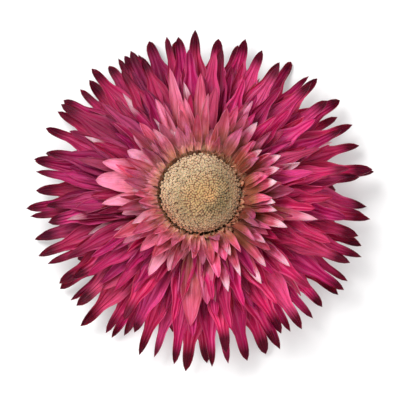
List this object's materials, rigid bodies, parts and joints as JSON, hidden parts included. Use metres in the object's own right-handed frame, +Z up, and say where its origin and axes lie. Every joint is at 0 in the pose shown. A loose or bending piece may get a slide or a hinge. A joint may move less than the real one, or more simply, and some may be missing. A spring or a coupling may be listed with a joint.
{
  "type": "dried strawflower head",
  "caption": "Dried strawflower head with layered pointed papery bracts round a domed straw-coloured disc, cut under the bloom to lie face up as decoration.",
  "frame": {"origin": "under the middle of the head's outline, on the surface that the head lies on", "axes": "+Z up along the head's own axis, out of its face; +Y is the top of the picture"},
  "size_m": [0.0438, 0.0432, 0.0127],
  "materials": {
    "stem": "dry fibrous brown stem",
    "scale": "thin satin straw-brown papery scale",
    "ray": "satin papery magenta bract with fine ribs, darker at the point",
    "inner": "satin papery rose bract, straw-coloured at its root",
    "disc": "matte velvety straw florets"
  },
  "bodies": {
    "root": {"stem_and_receptacle": "stem", "scale_bracts": "scale", "ray_bracts": "ray", "inner_bracts": "inner", "disc_florets": "disc"}
  },
  "joints": []
}
